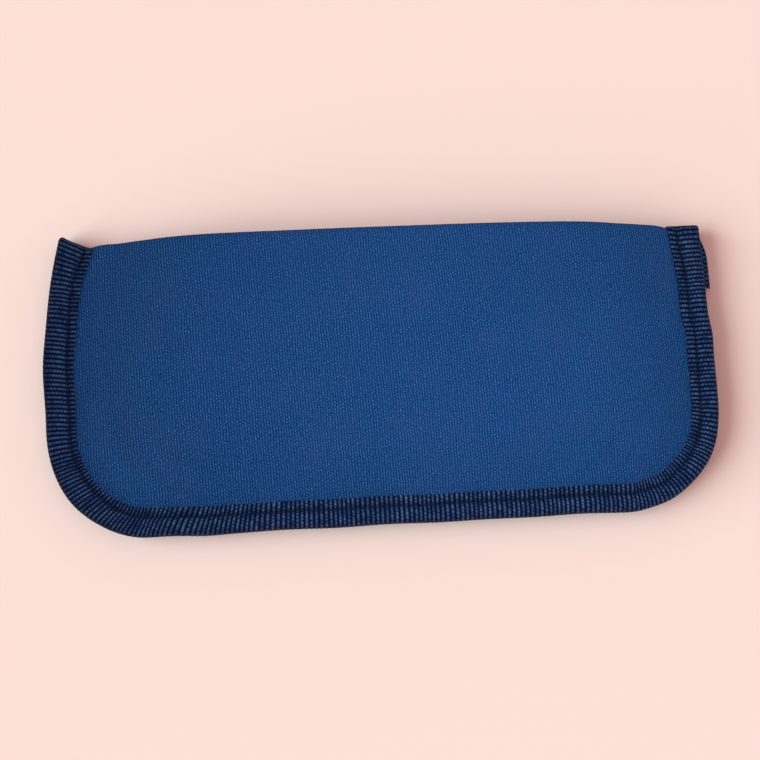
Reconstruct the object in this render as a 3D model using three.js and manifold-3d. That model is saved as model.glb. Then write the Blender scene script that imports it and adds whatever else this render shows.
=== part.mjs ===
// A slip-in eyeglasses case: two padded fabric panels, open along the top edge and bound together
// down the left side, along the bottom and up the right side by one folded ribbed tape.
// Millimetres. The case lies on its back panel: +X to its right, +Y towards the mouth, +Z out of
// the front panel. The origin is under the middle of the case, on the surface it lies on.

import * as THREE from "three";
import { mergeVertices } from "three/addons/utils/BufferGeometryUtils.js";
import Module from "manifold-3d";

const wasm = await Module();
wasm.setup();

// ---- Driving dimensions ----------------------------------------------------------------------

const HALF_WIDTH = 92.6; // at the widest place, tape included
const BOTTOM_Y = -41.75; // outer edge of the tape along the bottom
const LIP_Y = 40.25; // top of the mouth's lip, in the middle
const LIP_DROP = 1.9; // how much lower the whole lip curves by the full half width
const LIP_END_DROP = 1.4; // how much more its ends drop, where they go under the tape
const LIP_END_START = 0.78; // where that starts, as a fraction of the half width
const WIDEST_Y = 2.25;
const LEFT_DRAW = 0.0027; // each side draws in by this times the squared height over WIDEST_Y
const RIGHT_DRAW = 0.0001;
const CORNER_X = 27; // half axes of the two elliptical bottom corners
const CORNER_Y = 31;

const SEAM_Z = 4.2; // middle of the pressed seam
const CLOTH = 0.45; // shell and lining cloth
const PLY_GAP = 0.12; // between neighbouring layers
const PANEL = 3.2; // a whole panel: shell, padding and lining
const PRESSED = 1.6; // the same panel pressed in the seam
const CROWN = 7.1; // how far the front panel swells above its seam
const CROWN_RUN = 34; // from the seam to where the front panel is at its highest
const PRESS_END = 11.5; // from the outer edge to where the panels stop being pressed
const BACK_FLAT = 20; // from the outer edge to where the back panel lies flat
const FULL_PAD = 22; // from the outer edge to where the panels have their full thickness
const FACING = 12; // shell cloth turned over the lip and down the inside

const TAPE_WIDTH = 8; // each leaf of the folded tape
const TAPE = 0.65; // thickness of the ribbed tape
const TAPE_FOLD = 1.6; // depth of the tape's rounded outer fold
const LEFT_END_Y = 40.25; // where the tape's leaves stop at the mouth corners
const RIGHT_END_Y = 37.45;
const TAIL_TURN = 1.5; // how far the turned end stands past the leaves
const LEFT_TAIL = 9; // lengths of the two tape ends turned under the back leaf
const RIGHT_TAIL = 16;

const EDGE_INSET = 1.8; // from the outer edge to the panels' cut edges, inside the tape
const HELD_WIDTH = 8.6; // from the outer edge to where the front panel's held border ends
const FREE_INSET = 9; // from the outer edge to where the front panel's free part starts

const THREAD_RADIUS = 0.2;
const STITCH_INSET = 5.4; // from the outer edge to the stitch line
const FACING_THREAD_SPAN = 78; // half the length of the two seams inside the mouth

// ---- Outline ---------------------------------------------------------------------------------

const cornerCentreY = BOTTOM_Y + CORNER_Y;
const cornerCentreX = HALF_WIDTH - CORNER_X;

// The case's half width at height y, for its outline moved in by inset. side is negative on the
// left and positive on the right.
function halfWidth(side, y, inset) {
  const draw = (side < 0 ? LEFT_DRAW : RIGHT_DRAW) * Math.max(0, y - WIDEST_Y) ** 2;
  const below = Math.max(0, cornerCentreY - y) / (CORNER_Y - inset);
  const round = Math.sqrt(Math.max(0, 1 - below * below));
  return cornerCentreX - draw + (CORNER_X - inset) * round;
}

// Half of the sewn edge, from the bottom's middle to a height on the left side, -1, or right, 1.
function halfOfEdge(side, endY, cornerSteps, sideSteps) {
  const BOTTOM_STEPS = 3;
  const places = [];
  for (let i = 0; i < BOTTOM_STEPS; i++) {
    places.push(new THREE.Vector2((side * cornerCentreX * i) / BOTTOM_STEPS, BOTTOM_Y));
  }
  for (let i = 0; i < cornerSteps; i++) {
    const turn = (Math.PI / 2) * (i / cornerSteps);
    const x = side * (cornerCentreX + CORNER_X * Math.sin(turn));
    places.push(new THREE.Vector2(x, cornerCentreY - CORNER_Y * Math.cos(turn)));
  }
  for (let i = 0; i <= sideSteps; i++) {
    const y = THREE.MathUtils.lerp(cornerCentreY, endY, i / sideSteps);
    places.push(new THREE.Vector2(side * halfWidth(side, y, 0), y));
  }
  return places;
}

const leftEdge = halfOfEdge(-1, LIP_Y, 24, 12);
const rightEdge = halfOfEdge(1, LIP_Y, 24, 12);

// The distance from a place inside the case to its sewn edge, which runs round all but the mouth.
function seamDistance(x, y) {
  const here = new THREE.Vector2(x, y);
  const places = x < 0 ? leftEdge : rightEdge;
  let nearest = Infinity;
  for (let i = 1; i < places.length; i++) {
    const start = places[i - 1];
    const along = places[i].clone().sub(start);
    const from = here.clone().sub(start);
    const share = THREE.MathUtils.clamp(from.dot(along) / along.lengthSq(), 0, 1);
    nearest = Math.min(nearest, from.addScaledVector(along, -share).length());
  }
  return nearest;
}

// The lip's height at a fraction across the case, from -1 at its left to 1 at its right.
function lipY(across) {
  const end = THREE.MathUtils.smoothstep(Math.abs(across), LIP_END_START, 1);
  return LIP_Y - LIP_DROP * Math.abs(across) ** 3 - LIP_END_DROP * end;
}

// Stations along the sewn edge, from the left mouth corner round the bottom to the right one,
// each with its place on the outer edge and the direction in towards the case.
function edgeStations(leftEndY, rightEndY) {
  const CORNER_STEPS = 8;
  const SIDE_STEPS = 7;
  const right = halfOfEdge(1, rightEndY, CORNER_STEPS, SIDE_STEPS);
  const left = halfOfEdge(-1, leftEndY, CORNER_STEPS, SIDE_STEPS).slice(1).reverse();
  const places = [...left, ...right];
  return places.map((place, i) => {
    const before = places[Math.max(0, i - 1)];
    const after = places[Math.min(places.length - 1, i + 1)];
    const along = after.clone().sub(before).normalize();
    return { place, inward: new THREE.Vector2(-along.y, along.x) };
  });
}

// The place at a depth in from a station's outer edge, at height z.
function atStation(station, depth, z) {
  const { place, inward } = station;
  return new THREE.Vector3(place.x + inward.x * depth, place.y + inward.y * depth, z);
}

// ---- Solids ----------------------------------------------------------------------------------

// A closed solid between two grids of points. top(column, row) lies on the side that shows when
// columns run to the right and rows run away; bottom(column, row) lies under it.
function thickSheet(columns, rows, top, bottom) {
  const perSide = (columns + 1) * (rows + 1);
  const corners = [];
  for (const side of [top, bottom]) {
    for (let column = 0; column <= columns; column++) {
      for (let row = 0; row <= rows; row++) corners.push(...side(column, row).toArray());
    }
  }
  const upper = (column, row) => column * (rows + 1) + row;
  const lower = (column, row) => perSide + upper(column, row);
  const index = [];
  const quad = (a, b, c, d) => index.push(a, b, c, a, c, d);
  for (let column = 0; column < columns; column++) {
    const next = column + 1;
    for (let row = 0; row < rows; row++) {
      quad(upper(column, row), upper(next, row), upper(next, row + 1), upper(column, row + 1));
      quad(lower(column, row), lower(column, row + 1), lower(next, row + 1), lower(next, row));
    }
    quad(upper(column, 0), lower(column, 0), lower(next, 0), upper(next, 0));
    quad(upper(column, rows), upper(next, rows), lower(next, rows), lower(column, rows));
  }
  for (let row = 0; row < rows; row++) {
    quad(upper(0, row), upper(0, row + 1), lower(0, row + 1), lower(0, row));
    quad(upper(columns, row), lower(columns, row), lower(columns, row + 1), upper(columns, row + 1));
  }
  const geometry = new THREE.BufferGeometry();
  geometry.setAttribute("position", new THREE.Float32BufferAttribute(corners, 3));
  geometry.setIndex(index);
  geometry.computeVertexNormals();
  return geometry;
}

// Joins closed geometries that overlap into one.
function joined(geometries) {
  const solids = geometries.map((geometry) => {
    const bare = geometry.clone();
    bare.deleteAttribute("normal");
    bare.deleteAttribute("uv");
    const merged = mergeVertices(bare);
    const vertProperties = new Float32Array(merged.attributes.position.array);
    const triVerts = new Uint32Array(merged.index.array);
    return new wasm.Manifold(new wasm.Mesh({ numProp: 3, vertProperties, triVerts }));
  });
  const mesh = solids.reduce((whole, solid) => whole.add(solid)).getMesh();
  const geometry = new THREE.BufferGeometry();
  geometry.setAttribute("position", new THREE.BufferAttribute(mesh.vertProperties, 3));
  geometry.setIndex(new THREE.BufferAttribute(mesh.triVerts, 1));
  geometry.computeVertexNormals();
  return geometry;
}

// A thread along a list of points.
function threadGeometry(points, steps) {
  const SIDES = 6;
  const section = new THREE.Shape();
  for (let i = 0; i < SIDES; i++) {
    const turn = (2 * Math.PI * i) / SIDES;
    const [x, y] = [THREAD_RADIUS * Math.cos(turn), THREAD_RADIUS * Math.sin(turn)];
    if (i === 0) section.moveTo(x, y);
    else section.lineTo(x, y);
  }
  section.closePath();
  const extrudePath = new THREE.CatmullRomCurve3(points);
  return new THREE.ExtrudeGeometry(section, { steps, bevelEnabled: false, extrudePath });
}

// ---- Panels ----------------------------------------------------------------------------------

// How much of a panel's padding is there at a distance from the sewn edge, from 0 to 1.
const padded = (distance) => THREE.MathUtils.smoothstep(distance, PRESS_END, FULL_PAD);

function panelThickness(distance) {
  return THREE.MathUtils.lerp(PRESSED, PANEL, padded(distance));
}

// The height of the front panel's outer face.
function frontFace(distance) {
  const climb = THREE.MathUtils.clamp((distance - PRESS_END) / CROWN_RUN, 0, 1);
  return SEAM_Z + PLY_GAP / 2 + PRESSED + CROWN * (1 - (1 - climb) ** 2);
}

// The height of the back panel's outer face, which lies flat on the surface inside its border.
function backFace(distance) {
  const flat = THREE.MathUtils.smoothstep(distance, PRESS_END, BACK_FLAT);
  return (SEAM_Z - PLY_GAP / 2 - PRESSED) * (1 - flat);
}

// inward is the sense of Z from a panel's outer face towards the inside of the case.
const FRONT = { inset: FREE_INSET, face: frontFace, inward: -1 };
const BACK = { inset: EDGE_INSET, face: backFace, inward: 1 };

// A place on a panel, at a fraction across it and a depth under its outer face.
function facePoint(panel, across, y, depth) {
  const x = across * halfWidth(across, y, panel.inset);
  const z = panel.face(seamDistance(x, y)) + panel.inward * depth(seamDistance(x, y));
  return new THREE.Vector3(x, y, z);
}

// The height on a panel where its lip starts to turn over.
function rollStart(panel, across) {
  const y = lipY(across);
  const x = across * halfWidth(across, y, panel.inset);
  return y - panelThickness(seamDistance(x, y)) / 2;
}

// A place on the rounded lip: turn goes from 90 degrees on the outer face to -90 on the inner one.
function rollPoint(panel, across, turn, depth) {
  const y = rollStart(panel, across);
  const x = across * halfWidth(across, y, panel.inset);
  const distance = seamDistance(x, y);
  const half = panelThickness(distance) / 2;
  const radius = half - depth(distance);
  const middle = panel.face(distance) + panel.inward * half;
  const angle = THREE.MathUtils.degToRad(turn);
  const z = middle - panel.inward * radius * Math.sin(angle);
  return new THREE.Vector3(x, y + radius * Math.cos(angle), z);
}

// The heights of a panel's rows: up from its bottom edge, closer together there, to where the
// facing's edge meets the lining, and on to the lip. LINING_ROWS of them lie on the lining.
const LINING_ROWS = 10;
const rowHeights = (panel) => {
  const climbs = [];
  for (let i = 0; i < LINING_ROWS; i++) {
    climbs.push(1 - Math.cos((Math.PI / 2) * (i / (LINING_ROWS - 1))));
  }
  const first = BOTTOM_Y + panel.inset;
  const liningEnd = (across) => rollStart(panel, across) - FACING - 2 * PLY_GAP;
  return [
    ...climbs.map((climb) => (across) => THREE.MathUtils.lerp(first, liningEnd(across), climb)),
    ...[FACING, FACING / 2, 0].map((down) => (across) => rollStart(panel, across) - down),
  ];
};

// Rows of places on a panel's face, and round its lip, each for an across and a depth.
const faceRows = (panel) =>
  rowHeights(panel).map((height) => (across, depth) =>
    facePoint(panel, across, height(across), depth),
  );
const rollRows = (panel, turns) =>
  turns.map((turn) => (across, depth) => rollPoint(panel, across, turn, depth));

// A layer of a panel between two grids of rows, the outer ones nearer to the case's outside.
function layer(panel, outerRows, outerDepth, innerRows, innerDepth) {
  const COLUMNS = 18;
  const acrossOf = (column) => {
    const even = (2 * column) / COLUMNS - 1;
    return (even + Math.sin((Math.PI / 2) * even)) / 2;
  };
  const outer = (column, row) => outerRows[row](acrossOf(column), outerDepth);
  const inner = (column, row) => innerRows[row](acrossOf(column), innerDepth);
  const [top, bottom] = panel.inward < 0 ? [outer, inner] : [inner, outer];
  return thickSheet(COLUMNS, outerRows.length - 1, top, bottom);
}

const clothDepth = () => CLOTH;
const foamDepth = () => CLOTH + PLY_GAP;

// The shell cloth: up the outer face, over the lip and down the inside as a facing.
function shellGeometry(panel) {
  const face = faceRows(panel);
  const facing = face
    .slice(LINING_ROWS)
    .reverse()
    .map((row) => (across, depth) =>
      row(across, (distance) => panelThickness(distance) - depth(distance)),
    );
  const rows = [...face, ...rollRows(panel, [45, 0, -45]), ...facing];
  return layer(panel, rows, () => 0, rows, clothDepth);
}

// The foam between shell and lining, with a rounded end inside the lip.
function paddingGeometry(panel) {
  const face = faceRows(panel);
  const outerRows = [...face, ...rollRows(panel, [50, 15])];
  const innerFace = face.map((row) => (across) =>
    row(across, (distance) => panelThickness(distance) - foamDepth()),
  );
  const innerRows = [...innerFace, ...rollRows(panel, [-50, -15])];
  return layer(panel, outerRows, foamDepth, innerRows, foamDepth);
}

// The lining: the inner face from the bottom seam up to the facing's edge.
function liningGeometry(panel) {
  const rows = faceRows(panel).slice(0, LINING_ROWS);
  const outerDepth = (distance) => panelThickness(distance) - CLOTH;
  return layer(panel, rows, outerDepth, rows, panelThickness);
}

// The thread that joins facing and lining, on the inner face.
function facingThreadGeometry(panel) {
  const STEPS = 24;
  const CLEARANCE = 0.3;
  const depth = (distance) => panelThickness(distance) + CLEARANCE + THREAD_RADIUS;
  const points = [];
  for (let i = 0; i <= STEPS; i++) {
    const across = (FACING_THREAD_SPAN / HALF_WIDTH) * ((2 * i) / STEPS - 1);
    const y = rollStart(panel, across) - FACING - PLY_GAP;
    points.push(facePoint(panel, across, y, depth));
  }
  return threadGeometry(points, STEPS);
}

// ---- Binding ---------------------------------------------------------------------------------

const pressedHalf = PRESSED + PLY_GAP / 2; // from the seam's middle to a panel's pressed face
const tapeInnerHalf = pressedHalf + PLY_GAP;
const tapeOuterHalf = tapeInnerHalf + TAPE;

// The tape's section from the back leaf's inner end round the fold to the front leaf's.
function tapeSection(fold, half, firstDepth) {
  const FOLD_STEPS = 6;
  const section = [[TAPE_WIDTH, -half]];
  for (let i = 0; i <= FOLD_STEPS; i++) {
    const turn = Math.PI * (i / FOLD_STEPS - 0.5);
    section.push([firstDepth + fold * (1 - Math.cos(turn)), half * Math.sin(turn)]);
  }
  section.push([TAPE_WIDTH, half]);
  return section;
}

// One end of the tape, turned over the end of the seam and under the back leaf.
function tailGeometry(side, endY, length) {
  const ACROSS_STEPS = 2;
  const FIRST_DEPTH = 0.5; // from the outer edge
  const OVERLAP = 1; // length shared with the front leaf
  const doubled = 2 * TAPE;
  const upper = tapeOuterHalf;
  const lower = -tapeOuterHalf - PLY_GAP - doubled;
  const turned = endY + TAIL_TURN;
  const bend = endY + 0.4 * TAIL_TURN;
  const innerBend = endY + 0.2 * TAIL_TURN;
  // Pairs of outer and inner points, as y and height over the seam's middle.
  const profile = [
    [[endY - OVERLAP, upper], [endY - OVERLAP, upper - TAPE]],
    [[bend, upper], [innerBend, upper - TAPE]],
    [[turned, upper - TAPE], [turned - TAPE, upper - 1.6 * TAPE]],
    [[turned, lower + doubled], [turned - TAPE, lower + 1.6 * doubled]],
    [[bend, lower], [innerBend, lower + doubled]],
    [[endY - length, lower], [endY - length, lower + doubled]],
  ];
  const at = (column, [y, height]) => {
    const step = side < 0 ? column : ACROSS_STEPS - column;
    const depth = THREE.MathUtils.lerp(FIRST_DEPTH, TAPE_WIDTH, step / ACROSS_STEPS);
    const x = side * (halfWidth(side, Math.min(y, endY), 0) - depth);
    return new THREE.Vector3(x, y, SEAM_Z + height);
  };
  return thickSheet(
    ACROSS_STEPS,
    profile.length - 1,
    (column, row) => at(column, profile[row][0]),
    (column, row) => at(column, profile[row][1]),
  );
}

function tapeGeometry() {
  const stations = edgeStations(LEFT_END_Y, RIGHT_END_Y);
  const outside = tapeSection(TAPE_FOLD, tapeOuterHalf, 0);
  const inside = tapeSection(TAPE_FOLD - TAPE, tapeInnerHalf, TAPE);
  const on = (section) => (column, row) =>
    atStation(stations[column], section[row][0], SEAM_Z + section[row][1]);
  const leaves = thickSheet(stations.length - 1, outside.length - 1, on(outside), on(inside));
  const leftTail = tailGeometry(-1, LEFT_END_Y, LEFT_TAIL);
  const rightTail = tailGeometry(1, RIGHT_END_Y, RIGHT_TAIL);
  return joined([leaves, leftTail, rightTail]);
}

// The border of the front panel that the tape holds pressed flat.
function heldBorderGeometry() {
  const stations = edgeStations(RIGHT_END_Y, RIGHT_END_Y);
  const depths = [EDGE_INSET, HELD_WIDTH];
  const low = SEAM_Z + PLY_GAP / 2;
  return thickSheet(
    stations.length - 1,
    1,
    (column, row) => atStation(stations[column], depths[row], low + PRESSED),
    (column, row) => atStation(stations[column], depths[row], low),
  );
}

// The lockstitch line on one leaf of the tape: side is 1 on the front leaf and -1 on the back.
function stitchThreadGeometry(side, leftEndY, rightEndY) {
  const STEPS = 72;
  const height = SEAM_Z + side * (tapeOuterHalf + PLY_GAP / 2 + THREAD_RADIUS);
  const stations = edgeStations(leftEndY, rightEndY);
  const points = stations.map((station) => atStation(station, STITCH_INSET, height));
  return threadGeometry(points, STEPS);
}

// ---- Assembly --------------------------------------------------------------------------------

const cloth = (name, color) =>
  new THREE.MeshStandardMaterial({ name, color, roughness: 0.9, metalness: 0 });
const shellCloth = () => cloth("shell_cloth", 0x1f477d);
const liningCloth = () => cloth("lining_cloth", 0x2a2f3a);
const foam = () => cloth("foam", 0x8c8f94);
const tapeCloth = () => cloth("binding_tape", 0x182846);
const thread = () => cloth("thread", 0x121c33);

const eyeglassesCase = new THREE.Group();
eyeglassesCase.name = "eyeglasses_case";

function place(name, geometry, material) {
  const mesh = new THREE.Mesh(geometry, material);
  mesh.name = name;
  eyeglassesCase.add(mesh);
}

for (const [name, panel] of [["back", BACK], ["front", FRONT]]) {
  place(`${name}_shell`, shellGeometry(panel), shellCloth());
  place(`${name}_padding`, paddingGeometry(panel), foam());
  place(`${name}_lining`, liningGeometry(panel), liningCloth());
  place(`${name}_facing_thread`, facingThreadGeometry(panel), thread());
}
place("front_held_border", heldBorderGeometry(), shellCloth());
place("binding_tape", tapeGeometry(), tapeCloth());

const THREAD_END = 1; // the stitch line stops this far short of the leaves' ends
const leftThreadY = LEFT_END_Y - THREAD_END;
const rightThreadY = RIGHT_END_Y - THREAD_END;
place("needle_thread", stitchThreadGeometry(1, leftThreadY, rightThreadY), thread());
place(
  "bobbin_thread",
  stitchThreadGeometry(-1, leftThreadY - LEFT_TAIL, rightThreadY - RIGHT_TAIL),
  thread(),
);

export default eyeglassesCase;
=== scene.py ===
# A soft slip-in eyeglasses case lying on its back: two padded cloth panels, open along the top
# edge, bound down the left side, along the bottom and up the right side by one folded ribbed tape.
# Metres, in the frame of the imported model: +X to the case's right, +Y to its mouth, +Z up.
import math

import bmesh
import bpy
import numpy as np
from mathutils import Matrix, Vector
from mathutils.kdtree import KDTree


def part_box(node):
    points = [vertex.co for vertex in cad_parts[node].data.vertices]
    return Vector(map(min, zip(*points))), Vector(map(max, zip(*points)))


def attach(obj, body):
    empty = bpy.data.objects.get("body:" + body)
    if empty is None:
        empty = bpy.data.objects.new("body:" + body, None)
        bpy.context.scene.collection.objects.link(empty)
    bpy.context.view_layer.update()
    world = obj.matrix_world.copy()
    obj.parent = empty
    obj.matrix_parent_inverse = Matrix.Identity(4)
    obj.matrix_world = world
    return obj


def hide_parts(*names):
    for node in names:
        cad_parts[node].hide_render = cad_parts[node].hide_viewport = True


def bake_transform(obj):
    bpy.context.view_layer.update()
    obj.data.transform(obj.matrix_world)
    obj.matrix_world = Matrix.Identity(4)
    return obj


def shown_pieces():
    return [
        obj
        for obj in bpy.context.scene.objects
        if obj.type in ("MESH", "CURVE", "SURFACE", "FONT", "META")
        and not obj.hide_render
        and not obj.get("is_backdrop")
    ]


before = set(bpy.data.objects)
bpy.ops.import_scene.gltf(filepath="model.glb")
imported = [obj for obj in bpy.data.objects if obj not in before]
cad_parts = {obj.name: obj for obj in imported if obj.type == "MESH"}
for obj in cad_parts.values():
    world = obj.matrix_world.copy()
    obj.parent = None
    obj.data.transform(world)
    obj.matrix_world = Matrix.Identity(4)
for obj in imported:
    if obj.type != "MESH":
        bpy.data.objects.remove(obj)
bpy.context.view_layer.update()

MM = 0.001

# ---- Sizes ----

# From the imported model.
TAPE_LOW, TAPE_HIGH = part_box("binding_tape")
SHELL_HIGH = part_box("front_shell")[1]
HELD_LOW, HELD_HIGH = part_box("front_held_border")
HALF_WIDTH = TAPE_HIGH.x  # at the widest place, tape included
BOTTOM_Y = TAPE_LOW.y  # outer edge of the tape along the bottom
LIP_Y = SHELL_HIGH.y  # top of the mouth's lip, in the middle
EDGE_INSET = HALF_WIDTH - HELD_HIGH.x  # from the outer edge to the panels' cut edges
PRESSED = HELD_HIGH.z - HELD_LOW.z  # a panel's thickness pressed in the seam
CROWN = SHELL_HIGH.z - HELD_HIGH.z  # how far the front panel swells above its seam

# The outline.
LIP_DROP_LEFT = 0.35 * MM  # how much lower the lip curves on its way to the tape
LIP_DROP_RIGHT = 1.1 * MM
LIP_LEVEL = 0.74  # where it has come down by that, as a fraction of the half width
LIP_END_DROP = 2.5 * MM  # how much more its ends drop, where they go under the tape
LIP_END_START = 0.85  # where that starts, as a fraction of the half width
WIDEST_Y = 2.25 * MM  # the height up to which the sides stay as wide
LEFT_DRAW = 0.0027 / MM  # each side draws in by this times the squared height over WIDEST_Y
RIGHT_DRAW = 0.0001 / MM
CORNER_X = 27 * MM  # half axes of the two elliptical bottom corners
CORNER_Y = 31 * MM
CORNER_CENTRE_X = HALF_WIDTH - CORNER_X
CORNER_CENTRE_Y = BOTTOM_Y + CORNER_Y

# The panels.
CLOTH = 0.45 * MM
PLY_GAP = 0.12 * MM
PANEL = 3.2 * MM  # a whole panel: shell, padding and lining
SEAM_Z = HELD_LOW.z - PLY_GAP / 2  # middle of the pressed seam
PRESS_END = 9 * MM  # from the outer edge to where the panels start to fill out
HELD_END = 9.5 * MM  # to where the front panel starts to move
FREE_START = 18 * MM  # to where the tape no longer draws on it
FRONT_FULL, BACK_FULL = 16 * MM, 22 * MM  # to where the panels have their whole thickness
BACK_FLAT = 20 * MM  # to where the back panel lies flat
BACK_LIFT = 0.05 * MM  # its height over the surface there
LUMP = 0.12 * MM  # height of the padding's uneven places
RISE_START = 8 * MM  # from the outer edge to where the front panel starts to rise
RISE_RUN = 37 * MM  # from there to its full height
RISE_POWER = 2.5
CORNER_FALLS = (  # where the front panel is drawn down by the tape: place, depth and radius
    (-79 * MM, 34 * MM, 2.0 * MM, 20 * MM),
    (80 * MM, 36 * MM, 0.7 * MM, 16 * MM),
    (-66 * MM, -24 * MM, 1.4 * MM, 17 * MM),
)
LIP_ROUND = 2.6 * MM  # how far the lip's rounding reaches down the face
SETTLE_COLUMNS, SETTLE_ROWS = 86, 40  # the cloth simulation's grid
SETTLE_MASS = 0.0015  # of each of its points
SETTLE_START = 0.2  # how much flatter it starts, as a share of the swell
SETTLE_SLACK = 0.004  # how much longer the cloth is than its straight run
SETTLE_PRESSURE = 4
SETTLE_FRAMES = 20
SETTLE_MOST = 1.2 * MM  # the most that it may rise or sink
SETTLE_FADE = 16 * MM  # from the lip to where it may move fully
FACING = 12 * MM  # shell cloth turned down the inside
FACING_OVERLAP = 4 * MM  # of the facing over the lining
FACING_SEAM = 1.8 * MM  # from the facing's edge to its stitches
FOAM_INSET = 0.5 * MM  # of the foam from the cloth's cut edges
FOAM_FROM_LIP = 0.6 * MM

# The tape.
TAPE = 0.65 * MM
TAPE_FOLD = 1.6 * MM  # depth of the rounded outer fold
TURNED_FOLD = 0.6 * MM  # the same on the turned ends
BACK_LEAF = 8 * MM
LEFT_END_Y = 40.25 * MM
RIGHT_END_Y = 37.45 * MM
TAIL_TURN = 1.5 * MM  # how far the turned ends stand past the leaves
INNER_TURN = 0.45 * MM  # the same for the turn's inner layer
LEFT_TAIL = 9 * MM
RIGHT_TAIL = 16 * MM
TAIL_PEEK = 2.4 * MM  # how far the right tail's end stands out past the edge
TAIL_HIDE = 0.4 * MM  # how far the left tail stays in from it
TAIL_FRAY = 0.45 * MM  # how unevenly the tails' raw ends are cut
LEFT_SLANT = 0.17  # how much the left end slants from square
SLANT_PIVOT, SLANT_END = 4 * MM, 8.2 * MM  # depths where the slant has no effect and where it ends
LEFT_POINT = 1.0 * MM  # how much further the left end's outer corner stands up
BULGES = (  # where the tape's outer edge stands out a little: place, amount and reach
    (-92 * MM, 6 * MM, 0.45 * MM, 10 * MM),
    (-85 * MM, -32 * MM, 0.35 * MM, 7 * MM),
    (-51 * MM, -41.5 * MM, 0.4 * MM, 6 * MM),
    (71 * MM, -41 * MM, -0.45 * MM, 4.5 * MM),
    (89 * MM, -26 * MM, 0.6 * MM, 10 * MM),
    (92 * MM, 7 * MM, 0.55 * MM, 4.5 * MM),
)
RIB_PITCH = 1.27 * MM
RIB_RELIEF = 0.2 * MM
RIB_SAMPLES = 6
FRONT_POINTS, FOLD_POINTS, BACK_POINTS = 17, 7, 10  # round the tape's section
VALLEY = 0.75 * MM  # how deep the stitches press into the tape
VALLEY_HALF_WIDTH = 0.95 * MM
TAPE_PUFF = 0.18 * MM  # height of the soft ridge between the stitches and the fold
TAPE_PUFF_DEPTH, TAPE_PUFF_HALF_WIDTH = 3.1 * MM, 1.3 * MM
LEAF_EDGE_ROUND = 0.3 * MM
SCALLOP, SCALLOP_REACH = 0.26 * MM, 0.4 * MM  # the ribs' ends on the leaves' edges
WAVER = 0.12 * MM  # how unevenly the tape is laid
BEAD_PITCH = 0.9 * MM  # along the ribs
STITCH_FROM_LEAF_EDGE = 2.8 * MM
STITCH_CLOSER = 0.8 * MM  # how much closer to the leaf's edge the stitches run up the left side

# Width of the front leaf at fractions of the way along the tape, from the left mouth corner.
LEAF_WIDTHS = (
    (0.00, 10.3 * MM),
    (0.03, 8.9 * MM),
    (0.05, 8.7 * MM),
    (0.12, 8.4 * MM),
    (0.24, 8.1 * MM),
    (0.34, 7.5 * MM),
    (0.66, 7.4 * MM),
    (0.78, 7.9 * MM),
    (0.95, 8.2 * MM),
    (1.00, 9.6 * MM),
)

# The stitches.
THREAD_RADIUS = 0.2 * MM
STITCH_LENGTH = 2.7 * MM
STITCH_GAP = 0.35 * MM
STITCH_DIVE = 0.4 * MM  # how deep a stitch's ends go into the cloth
STITCH_SIDES, STITCH_RINGS = 8, 9  # of each stitch's mesh

# The shell cloth's yarns.
COLUMN_PITCH = 0.733 * MM
ROW_PITCH = 0.488 * MM
COLUMN_LEAN = math.tan(math.radians(2.3))  # the columns' tops lean to the left


# ---- Small helpers ----

def smooth(value, start, end):
    t = np.clip((value - start) / (end - start), 0, 1)
    return t * t * (3 - 2 * t)


def ripple(place, seed, wavelength, waves=5):
    """A smooth irregular curve between about -1 and 1 along place, with bumps about wavelength long."""
    random = np.random.default_rng(seed)
    total = np.zeros_like(place, dtype=float)
    for _ in range(waves):
        length = wavelength * random.uniform(0.7, 1.8)
        total += np.sin(2 * math.pi * (place / length + random.random()))
    return total / math.sqrt(waves)


def add_faces(faces, grid, flip=False):
    """Appends the quads of a grid of vertex numbers."""
    a, b, c, d = grid[:-1, :-1], grid[1:, :-1], grid[1:, 1:], grid[:-1, 1:]
    quads = np.stack([a, b, c, d], axis=-1).reshape(-1, 4)
    faces.extend((quads[:, ::-1] if flip else quads).tolist())


def closed_faces(upper, lower):
    """The quads of two grids of vertex numbers, joined all round."""
    faces = []
    add_faces(faces, upper)
    add_faces(faces, lower, flip=True)
    for row in (0, -1):
        add_faces(faces, np.stack([upper[row], lower[row]]))
    for column in (0, -1):
        add_faces(faces, np.stack([upper[:, column], lower[:, column]]))
    return faces


def solid_mesh(name, points, faces):
    """A mesh with its faces pointing out."""
    mesh = bpy.data.meshes.new(name)
    mesh.from_pydata(points.tolist(), [], faces)
    work = bmesh.new()
    work.from_mesh(mesh)
    bmesh.ops.recalc_face_normals(work, faces=work.faces)
    work.to_mesh(mesh)
    work.free()
    return mesh


def make_object(name, points, faces, coordinates, material):
    """A smooth mesh object with one texture coordinate for each vertex."""
    mesh = solid_mesh(name, points, faces)
    layer = mesh.uv_layers.new(name="cloth")
    corners = np.empty(len(mesh.loops), dtype=np.int32)
    mesh.loops.foreach_get("vertex_index", corners)
    layer.data.foreach_set("uv", coordinates[corners].astype(np.float32).ravel())
    mesh.polygons.foreach_set("use_smooth", np.ones(len(mesh.polygons), dtype=bool))
    mesh.materials.append(material)
    piece = bpy.data.objects.new(name, mesh)
    bpy.context.scene.collection.objects.link(piece)
    return piece


def thick_sheet(name, outer, inner, coordinates, material):
    """A closed piece between two grids of points of the same size."""
    upper = np.arange(outer[..., 0].size).reshape(outer.shape[:2])
    faces = closed_faces(upper, upper + upper.size)
    points = np.concatenate([outer.reshape(-1, 3), inner.reshape(-1, 3)])
    both = np.concatenate([coordinates.reshape(-1, 2)] * 2)
    return make_object(name, points, faces, both, material)


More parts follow.
